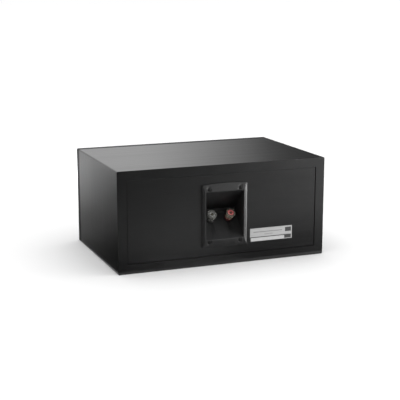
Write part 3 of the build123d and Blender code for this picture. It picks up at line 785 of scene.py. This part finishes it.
foam_finish, tree, shader, coordinates = start_finish("gasket_black_foam", 0.9)
cells = clouds(tree, coordinates, 1600.0, 3.0)
tones(tree, shader, cells, (0.002, 0.002, 0.002), (0.008, 0.008, 0.008))
relief(tree, shader, cells, 0.0003, 0.6)

FOAM_PROUD = 0.5
gasket = bowed_sheet("cup_gasket_ring", [half + FOAM_PROUD for half in FLANGE_HALF])
bpy.ops.mesh.inset(thickness=2.0)
draw_to(gasket, PANEL_HOLE, 0.0)
bpy.ops.mesh.delete(type="FACE")
bpy.ops.mesh.select_all(action="SELECT")
bpy.ops.mesh.extrude_region_move(TRANSFORM_OT_translate={"value": (0, 0, GASKET)})
bpy.ops.mesh.select_all(action="SELECT")
bpy.ops.mesh.normals_make_consistent(inside=False)
bpy.ops.object.mode_set(mode="OBJECT")
cut_away(gasket, drill("gasket_bit", CUP_SCREWS, SCREW_HOLE, -1.0, 2.0))
set_in(gasket, (0, PANEL_FACE, DRIVER_HEIGHT), FACING_REAR)
smooth(gasket, 30)
hand_over(gasket, foam_finish, "gasket_foam", "cabinet", "cup_gasket")

# Cup screws: four black pan-head wood screws, each in a round pocket of the flange.
# They go through the gasket into the rear panel.

pocket_spots = [(-x / 1000, PANEL_FACE, DRIVER_HEIGHT + y / 1000) for x, y, z in CUP_SCREWS]
cup_screw = pan_screw("cup_screw_01", radius=2.9, head=1.2, under=POCKET_FLOOR, length=12.0)
drive_in(cup_screw, "cup_screw", pocket_spots, FACING_REAR, 0.3, 0.5)

# Binding posts: a plated brass stud on a plastic collar, with a screw cap that clamps the wire.
# The cap is a clear faceted sleeve over a grooved brass insert, with a coloured ring at its tip.

plated_finish, tree, shader, coordinates = start_finish("post_nickel_plate", 0.22, 1.0)
drawn = clouds(tree, stretched(tree, coordinates, (1, 6, 6), POST_TURN), 400.0, 3.0)
tones(tree, shader, drawn, (0.62, 0.60, 0.55), (0.80, 0.78, 0.72))
roughen(tree, shader, drawn, 0.16, 0.3)
relief(tree, shader, drawn, 0.00004, 0.15)
for post in POSTS:
    dress(plated_finish, f"{post}_post_stud", f"{post}_post_lock_nut", f"{post}_post_solder_tag")

# Heights on the red post over which the painted red glow at the sleeve's foot fades into the sleeve's grey.
PAINTED_GLOW_REACH = (0.0052, 0.0068)


def post_plastic(name, first, second, roughness, clear=0.0, painted_glow_foot=False):
    """Moulded plastic of a post; clear lets light through. A tinted foot has the first tone only round the
    foot, as a painted red glow of the collar through the clear plastic.
    """
    finish, tree, shader, coordinates = start_finish(name, roughness)
    flow = clouds(tree, coordinates, 350.0, 3.0)
    roughen(tree, shader, flow, roughness * 0.8, roughness * 1.25)
    relief(tree, shader, flow, 0.00005, 0.1)
    shader.inputs["Transmission Weight"].default_value = clear
    shader.inputs["IOR"].default_value = 1.49
    # The salmon tone at the foot is a painted red glow of the collar through the clear sleeve, not a dye.
    if painted_glow_foot:
        upright = stretched(tree, coordinates, (1, 1, 1), (pi / 4, 0, 0), POSTS["red"])
        height = tree.nodes.new("ShaderNodeSeparateXYZ")
        tree.links.new(upright, height.inputs["Vector"])
        tones(tree, shader, height.outputs["Z"], first, second, *PAINTED_GLOW_REACH)
    else:
        tones(tree, shader, flow, first, second)
    return finish


POST_PLASTICS = {
    "black": {
        "collar": post_plastic("collar_black", (0.010, 0.010, 0.010), (0.018, 0.018, 0.017), 0.35),
        "sleeve": post_plastic("sleeve_clear_smoke", (0.37, 0.37, 0.35), (0.48, 0.48, 0.455), 0.18, 0.78),
        "ring": post_plastic("ring_smoke", (0.13, 0.13, 0.122), (0.19, 0.19, 0.18), 0.3),
    },
    "red": {
        # The red collar is red plastic darkened almost to black: partly its own colour, partly painted shade
        # under the cap.
        "collar": post_plastic("collar_red", (0.024, 0.004, 0.004), (0.038, 0.006, 0.006), 0.35),
        # The red sleeve is clear grey plastic with a painted red glow at its foot, in place of the collar's
        # light seen through it.
        "sleeve": post_plastic(
            "sleeve_clear_rose", (0.88, 0.40, 0.34), (0.57, 0.53, 0.44), 0.18, 0.8, painted_glow_foot=True
        ),
        "ring": post_plastic("ring_red", (0.64, 0.15, 0.15), (0.80, 0.24, 0.23), 0.25),
    },
}

STUD_BORE = 3.12
SPIGOT_RADIUS = 4.0
SPIGOT_END = -2.5
COLLAR_RADIUS = 6.75
COLLAR_TOP = 3.5
collar_outline = [
    (STUD_BORE, SPIGOT_END),
    (SPIGOT_RADIUS, SPIGOT_END),
    (SPIGOT_RADIUS, 0.0),
    (COLLAR_RADIUS, 0.0),
    (COLLAR_RADIUS, COLLAR_TOP - 0.6),
    (COLLAR_RADIUS - 0.2, COLLAR_TOP - 0.2),
    (COLLAR_RADIUS - 0.65, COLLAR_TOP),
    (STUD_BORE, COLLAR_TOP),
    (STUD_BORE, SPIGOT_END),
]
collar = lathe("black_post_base", collar_outline, 64)
collars = {"black": collar, "red": copy_of(collar, "red_post_base")}

INSERT_LOW, INSERT_HIGH = 5.0, 15.0
INSERT_ENDS = 4.7
LAND_RADIUS = 5.0
GROOVE_RADIUS = 4.6
GROOVES = 9
GROOVE_PITCH = 1.05
grooves = []
for step in range(GROOVES):
    level = INSERT_LOW + 0.3 + GROOVE_PITCH * step
    grooves += [(LAND_RADIUS, level), (LAND_RADIUS, level + 0.55)]
    grooves += [(GROOVE_RADIUS, level + 0.7), (GROOVE_RADIUS, level + 0.9)]
insert_outline = [
    (STUD_BORE, INSERT_LOW),
    (INSERT_ENDS, INSERT_LOW),
    *grooves,
    (INSERT_ENDS, INSERT_HIGH),
    (STUD_BORE, INSERT_HIGH),
    (STUD_BORE, INSERT_LOW),
]
insert = lathe("black_post_cap_core", insert_outline, 64)
inserts = {"black": insert, "red": copy_of(insert, "red_post_cap_core")}

FACETS = 8
SLEEVE_BORE = 5.1
SLEEVE_LOW, SLEEVE_HIGH = 3.8, 16.0
SLEEVE_FOOT = (6.36, 4.2)
SLEEVE_BROW = (8.12, 15.5)
sleeve_outline = [
    (0.0, SLEEVE_LOW),
    (5.95, SLEEVE_LOW),
    SLEEVE_FOOT,
    SLEEVE_BROW,
    (7.7, SLEEVE_HIGH),
    (0.0, SLEEVE_HIGH),
]
sleeve = lathe("black_post_cap_shell", sleeve_outline, FACETS)
cut_away(sleeve, drill("sleeve_bit", [(0, 0, 0)], SLEEVE_BORE, 0.0, SLEEVE_HIGH + 4, 64))
shaped_by(sleeve, "BEVEL", width=0.4, segments=3, limit_method="ANGLE", angle_limit=radians(25))
sleeves = {"black": sleeve, "red": copy_of(sleeve, "red_post_cap_shell")}

RING_INNER, RING_OUTER = 2.3, 5.0
RING_LOW, RING_HIGH = 15.1, 16.3
ring_outline = [
    (RING_INNER, RING_LOW),
    (RING_OUTER, RING_LOW),
    (RING_OUTER, RING_HIGH - 0.3),
    (RING_OUTER - 0.3, RING_HIGH),
    (RING_INNER + 0.4, RING_HIGH),
    (RING_INNER, RING_HIGH - 0.4),
    (RING_INNER, RING_LOW),
]
ring = lathe("black_post_cap_ring_end", ring_outline, 64)
rings = {"black": ring, "red": copy_of(ring, "red_post_cap_ring_end")}

for post, spot in POSTS.items():
    plastics = POST_PLASTICS[post]
    for piece in (collars[post], inserts[post], sleeves[post], rings[post]):
        set_in(piece, spot, POST_TURN)
        smooth(piece, 30)
    nut, cap = f"{post}_post_nut", f"{post}_post_cap"
    hand_over(collars[post], plastics["collar"], f"{post}_plastic", "cabinet", f"{post}_post_collar")
    hand_over(inserts[post], plated_finish, "plated_brass", nut, f"{post}_post_cap_insert")
    hand_over(sleeves[post], plastics["sleeve"], "clear_plastic", cap, f"{post}_post_cap_sleeve")
    hand_over(rings[post], plastics["ring"], f"{post}_plastic", cap, f"{post}_post_cap_ring")

# Rating label: a strip of self-adhesive silver foil beside the cup.
# Plain fields and rules are printed on it in three inks.

foil_finish, tree, shader, coordinates = start_finish("label_silver_foil", 0.42, 0.35)
brushing = clouds(tree, stretched(tree, coordinates, (1, 1, 40)), 90.0, 4.0)
tones(tree, shader, brushing, (0.36, 0.36, 0.36), (0.44, 0.44, 0.44))
roughen(tree, shader, brushing, 0.36, 0.5)
relief(tree, shader, brushing, 0.00003, 0.15)


def print_finish(name, dark, light):
    """Ink on the foil, a little mottled."""
    finish, tree, shader, coordinates = start_finish(name, 0.45)
    mottle = clouds(tree, coordinates, 1100.0, 3.0)
    tones(tree, shader, mottle, dark, light)
    relief(tree, shader, mottle, 0.00002, 0.1)
    return finish


LABEL_LOW, LABEL_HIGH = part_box("rating_label")
DARK_INK, PALE_INK, SOFT_INK = 1, 2, 3
OFF_END, OFF_FOOT = -40.0, 30.0  # prints that bleed off the strip are drawn past its end or foot
PRINTS = [
    (DARK_INK, (-116.2, -105.6), (43.8, 50.8)),
    (DARK_INK, (-116.2, -104.4), (33.0, 39.0)),
    (DARK_INK, (-104.4, OFF_END), (37.7, 39.0)),
    (DARK_INK, (-45.6, OFF_END), (OFF_FOOT, 39.0)),
    (SOFT_INK, (-100.5, -50.0), (46.2, 47.4)),
    (SOFT_INK, (-84.0, -69.0), (42.4, 43.1)),
    (PALE_INK, (-104.4, -45.6), (OFF_FOOT, 37.7)),
]
columns = sorted({edge for ink, across, up in PRINTS for edge in across if edge != OFF_END})
rows = sorted({edge for ink, across, up in PRINTS for edge in up if edge != OFF_FOOT})
label = block("rating_label_strip", (LABEL_HIGH - LABEL_LOW) / 2, (LABEL_LOW + LABEL_HIGH) / 2)
bpy.ops.object.mode_set(mode="EDIT")
for row in rows:
    bpy.ops.mesh.select_all(action="SELECT")
    bpy.ops.mesh.bisect(plane_co=(0, 0, row / 1000), plane_no=(0, 0, 1))
for column in columns:
    bpy.ops.mesh.select_all(action="SELECT")
    bpy.ops.mesh.bisect(plane_co=(column / 1000, 0, 0), plane_no=(1, 0, 0))
bpy.ops.object.mode_set(mode="OBJECT")
hand_over(label, foil_finish, "label_foil", "cabinet", "rating_label")
label.data.materials.append(print_finish("label_grey_ink", (0.022, 0.022, 0.022), (0.045, 0.045, 0.045)))
label.data.materials.append(print_finish("label_pale_ink", (0.37, 0.37, 0.37), (0.44, 0.44, 0.44)))
label.data.materials.append(print_finish("label_soft_ink", (0.14, 0.14, 0.14), (0.22, 0.22, 0.22)))
for face in label.data.polygons:
    x, y, z = face.center * 1000
    for ink, (left, right), (low, high) in PRINTS:
        if face.normal.y > 0.9 and left < x < right and low < z < high:
            face.material_index = ink

# Crossover: a phenolic board on four stick-down supports on the cabinet's floor.
# It carries two air-cored coils, two film capacitors and a ceramic resistor.

board_finish, tree, shader, coordinates = start_finish("board_phenolic", 0.5)
paper = clouds(tree, stretched(tree, coordinates, (1, 8, 8)), 140.0, 5.0)
tones(tree, shader, paper, (0.20, 0.10, 0.035), (0.32, 0.17, 0.06))
roughen(tree, shader, paper, 0.42, 0.6)
relief(tree, shader, paper, 0.00005, 0.2)
dress(board_finish, "crossover_board")

nylon_finish, tree, shader, coordinates = start_finish("support_nylon", 0.45)
moulding = clouds(tree, coordinates, 500.0, 3.0)
tones(tree, shader, moulding, (0.62, 0.61, 0.57), (0.74, 0.73, 0.69))
relief(tree, shader, moulding, 0.00005, 0.2)
shader.inputs["Subsurface Weight"].default_value = 0.1
dress(nylon_finish, "board_standoffs")

coil_finish, tree, shader, coordinates = start_finish("coil_enamelled_wire", 0.3, 1.0)
layers = ribs(tree, coordinates, "Z", 420.0, 0.6)
tones(tree, shader, layers, (0.34, 0.12, 0.05), (0.72, 0.33, 0.16), 0.1, 0.8)
relief(tree, shader, layers, 0.0004, 0.6)
dress(coil_finish, "crossover_inductor_woofer", "crossover_inductor_tweeter")

film_finish, tree, shader, coordinates = start_finish("capacitor_film_wrap", 0.3)
wraps = clouds(tree, stretched(tree, coordinates, (10, 1, 1)), 120.0, 3.0)
tones(tree, shader, wraps, (0.52, 0.36, 0.05), (0.68, 0.50, 0.09))
roughen(tree, shader, wraps, 0.24, 0.4)
relief(tree, shader, wraps, 0.0001, 0.2)
dress(film_finish, "crossover_capacitor_woofer", "crossover_capacitor_tweeter")

ceramic_finish, tree, shader, coordinates = start_finish("resistor_cement", 0.8)
grit = clouds(tree, coordinates, 1200.0, 5.0)
tones(tree, shader, grit, (0.56, 0.55, 0.51), (0.76, 0.75, 0.71))
relief(tree, shader, grit, 0.0002, 0.4)
dress(ceramic_finish, "crossover_resistor")

# Inner leads: flex from the terminals to the board, and on from there to the drivers.
# The copper strands are sheathed in soft PVC.


def jacket_finish(name, dark, light):
    """Soft PVC sheath with a faint extrusion grain."""
    finish, tree, shader, coordinates = start_finish(name, 0.5)
    drag = clouds(tree, coordinates, 260.0, 3.0)
    tones(tree, shader, drag, dark, light)
    roughen(tree, shader, drag, 0.42, 0.58)
    relief(tree, shader, drag, 0.0001, 0.15)
    return finish


dress(jacket_finish("lead_jacket_red", (0.22, 0.012, 0.012), (0.32, 0.025, 0.02)), "red_input_lead")
dark_jacket = jacket_finish("lead_jacket_black", (0.010, 0.010, 0.010), (0.022, 0.022, 0.022))
dress(dark_jacket, "black_input_lead", "woofer_left_lead", "woofer_right_lead", "tweeter_lead")

# Damping wadding: two pads of white polyester fibre, cut from a roll and left loose at their edges.
# Spray glue holds them to the inside of the rear panel, one on each side of the tray.

wadding_finish, tree, shader, coordinates = start_finish("wadding_fibre", 0.95)
fibres = clouds(tree, stretched(tree, coordinates, (3, 1, 1)), 300.0, 6.0)
tones(tree, shader, fibres, (0.42, 0.42, 0.40), (0.78, 0.78, 0.75))
relief(tree, shader, fibres, 0.002, 0.8)
shader.inputs["Sheen Weight"].default_value = 0.4

PAD_HALF = (50.35, 64.7)
PAD_THICKNESS = 24.0
EDGE_THINNING = 0.3
GLUE_LINE = 0.3
PADS = {"left": -0.10835, "right": 0.10835}
pad = block("wadding_left_pad", (*PAD_HALF, PAD_THICKNESS / 2), (0, 0, PAD_THICKNESS / 2))
bpy.ops.object.mode_set(mode="EDIT")
bpy.ops.mesh.select_mode(type="VERT")
bpy.ops.mesh.select_all(action="SELECT")
bpy.ops.mesh.subdivide(number_cuts=24)
bpy.ops.transform.vertex_random(offset=2.2, seed=7)
bpy.ops.mesh.vertices_smooth(factor=0.5, repeat=4)
bpy.ops.object.mode_set(mode="OBJECT")
for vertex in pad.data.vertices:
    edge = max(abs(vertex.co.x) / PAD_HALF[0], abs(vertex.co.y) / PAD_HALF[1])
    vertex.co.x = min(max(vertex.co.x, -PAD_HALF[0]), PAD_HALF[0])
    vertex.co.y = min(max(vertex.co.y, -PAD_HALF[1]), PAD_HALF[1])
    vertex.co.z = min(max(vertex.co.z * (1 - EDGE_THINNING * edge**8), 0.0), PAD_THICKNESS)
pads = {"left": pad, "right": copy_of(pad, "wadding_right_pad")}
glued_face = PANEL_FACE - (PANEL_THICKNESS + GLUE_LINE) / 1000
for side, spot_x in PADS.items():
    set_in(pads[side], (spot_x, glued_face, DRIVER_HEIGHT), FACING_FRONT)
    smooth(pads[side], 80)
    hand_over(pads[side], wadding_finish, "wadding", "cabinet", "damping_wadding")

# Studio: a pale floor under a white sky, soft boxes, and a camera at the photograph's angle.
# The sky looks white to the camera and in gloss but lights the speaker only a little, and the floor
# keeps the shadow. Black cards, which only gloss shows, darken parts of the reflections.


def shown_white(tree):
    """1 for what the camera sees directly, in gloss or through clear plastic, and 0 for lighting."""
    path = tree.nodes.new("ShaderNodeLightPath")
    seen = path.outputs["Is Camera Ray"]
    for kind in ("Is Glossy Ray", "Is Transmission Ray"):
        either = tree.nodes.new("ShaderNodeMath")
        either.operation = "MAXIMUM"
        tree.links.new(seen, either.inputs[0])
        tree.links.new(path.outputs[kind], either.inputs[1])
        seen = either.outputs["Value"]
    return seen


AMBIENT = 0.1

world = bpy.data.worlds.new("studio_air")
bpy.context.scene.world = world
world.use_nodes = True
tree = world.node_tree
background = tree.nodes["Background"]
background.inputs["Color"].default_value = (1, 1, 1, 1)
level = tree.nodes.new("ShaderNodeMapRange")
level.inputs["To Min"].default_value = AMBIENT
level.inputs["To Max"].default_value = 1.0
tree.links.new(shown_white(tree), level.inputs["Value"])
tree.links.new(level.outputs["Result"], background.inputs["Strength"])

bpy.ops.object.select_all(action="DESELECT")
bpy.ops.mesh.primitive_plane_add(size=30.0)
floor = bpy.context.object
floor.name = "studio_floor"
floor_finish = bpy.data.materials.new("floor_white")
floor_finish.use_nodes = True
tree = floor_finish.node_tree
tree.nodes.remove(tree.nodes["Principled BSDF"])
paint = tree.nodes.new("ShaderNodeBsdfDiffuse")
paint.inputs["Color"].default_value = (0.94, 0.94, 0.94, 1)
tree.links.new(paint.outputs["BSDF"], tree.nodes["Material Output"].inputs["Surface"])
floor.data.materials.append(floor_finish)


def soft_box(name, spot, aim, width, height, power, beam=180):
    """A soft rectangular lamp that points from its spot to its aim, with a beam of so many degrees."""
    bpy.ops.object.light_add(type="AREA", location=spot)
    lamp = bpy.context.object
    lamp.name = name
    lamp.data.shape = "RECTANGLE"
    lamp.data.size = width
    lamp.data.size_y = height
    lamp.data.energy = power
    lamp.data.spread = radians(beam)
    away = lamp.location - Vector(aim)
    lamp.rotation_euler = away.to_track_quat("Z", "Y").to_euler()


def dark_card(name, spot, turn, width, height, fade=0.5):
    """A black card that shows only in gloss, and fades out towards its edge over this share of its half."""
    bpy.ops.object.select_all(action="DESELECT")
    bpy.ops.mesh.primitive_plane_add(size=2.0, location=spot, rotation=turn)
    card = bpy.context.object
    card.name = name
    card.scale = (width / 2, height / 2, 1)
    card.visible_camera = False
    card.visible_diffuse = False
    card.visible_transmission = False
    card.visible_shadow = False
    paper = bpy.data.materials.new(name)
    paper.use_nodes = True
    tree = paper.node_tree
    tree.nodes.remove(tree.nodes["Principled BSDF"])
    round_fade = tree.nodes.new("ShaderNodeTexGradient")
    round_fade.gradient_type = "SPHERICAL"
    tree.links.new(tree.nodes.new("ShaderNodeTexCoord").outputs["Object"], round_fade.inputs["Vector"])
    edge = tree.nodes.new("ShaderNodeMapRange")
    edge.inputs["From Max"].default_value = fade
    tree.links.new(round_fade.outputs["Fac"], edge.inputs["Value"])
    black = tree.nodes.new("ShaderNodeEmission")
    black.inputs["Strength"].default_value = 0.0
    mix = tree.nodes.new("ShaderNodeMixShader")
    tree.links.new(edge.outputs["Result"], mix.inputs["Fac"])
    tree.links.new(tree.nodes.new("ShaderNodeBsdfTransparent").outputs["BSDF"], mix.inputs[1])
    tree.links.new(black.outputs["Emission"], mix.inputs[2])
    tree.links.new(mix.outputs["Shader"], tree.nodes["Material Output"].inputs["Surface"])
    card.data.materials.append(paper)


bpy.ops.object.light_add(type="SUN", location=(0, 0, 2))
overhead = bpy.context.object
overhead.name = "overhead_sky"
overhead.data.angle = radians(89)
overhead.data.energy = 3.1
overhead.visible_glossy = False
soft_box("right_box", (-1.50, 0.72, 0.065), (0, 0.1, 0.08), 0.80, 0.11, 40.0)
soft_box("left_box", (0.215, -0.78, 0.7), (0.215, -0.78, 0), 0.34, 0.6, 2.2, 40)
soft_box("back_box", (-0.20, -2.1, 0.68), (-0.10, 0, 0.08), 1.8, 1.2, 1.7)
dark_card("right_back_card", (-1.58, -2.0, 0.6), (pi / 2, 0, 0), 2.02, 2.12)
dark_card("left_floor_card", (1.15, -0.35, 0.002), (0, 0, 0), 2.12, 2.16, 0.25)
dark_card("side_foot_card", (0.36, 0.10, 0.004), (0, 0, 0), 0.83, 1.02, 0.6)
dark_card("rear_floor_card", (0.24, 1.18, 0.003), (0, 0, 0), 2.42, 2.2)
dark_card("rear_foot_card", (-0.28, 0.15, 0.005), (0, 0, 0), 0.71, 0.38, 0.33)
dark_card("rear_card", (-0.27, 1.75, 0.1), (pi / 2, 0, 0), 1.96, 1.8)
dark_card("overhead_card", (-0.54, 0.61, 1.5), (0, 0, 0), 2.8, 2.8, 0.38)

TURN = radians(158.51)
RISE = radians(12.30)
DISTANCE = 1.7091
AIM = (-0.00437, 0.0, 0.0797)
camera_data = bpy.data.cameras.new("photo_camera")
camera = bpy.data.objects.new("photo_camera", camera_data)
bpy.context.scene.collection.objects.link(camera)
camera_data.lens = 92.41
camera_data.sensor_width = 36.0
camera.location = (
    AIM[0] + DISTANCE * sin(TURN) * cos(RISE),
    AIM[1] - DISTANCE * cos(TURN) * cos(RISE),
    AIM[2] + DISTANCE * sin(RISE),
)
camera.rotation_euler = (pi / 2 - RISE, 0, TURN)
bpy.context.scene.camera = camera
bpy.context.scene.view_settings.view_transform = "Standard"
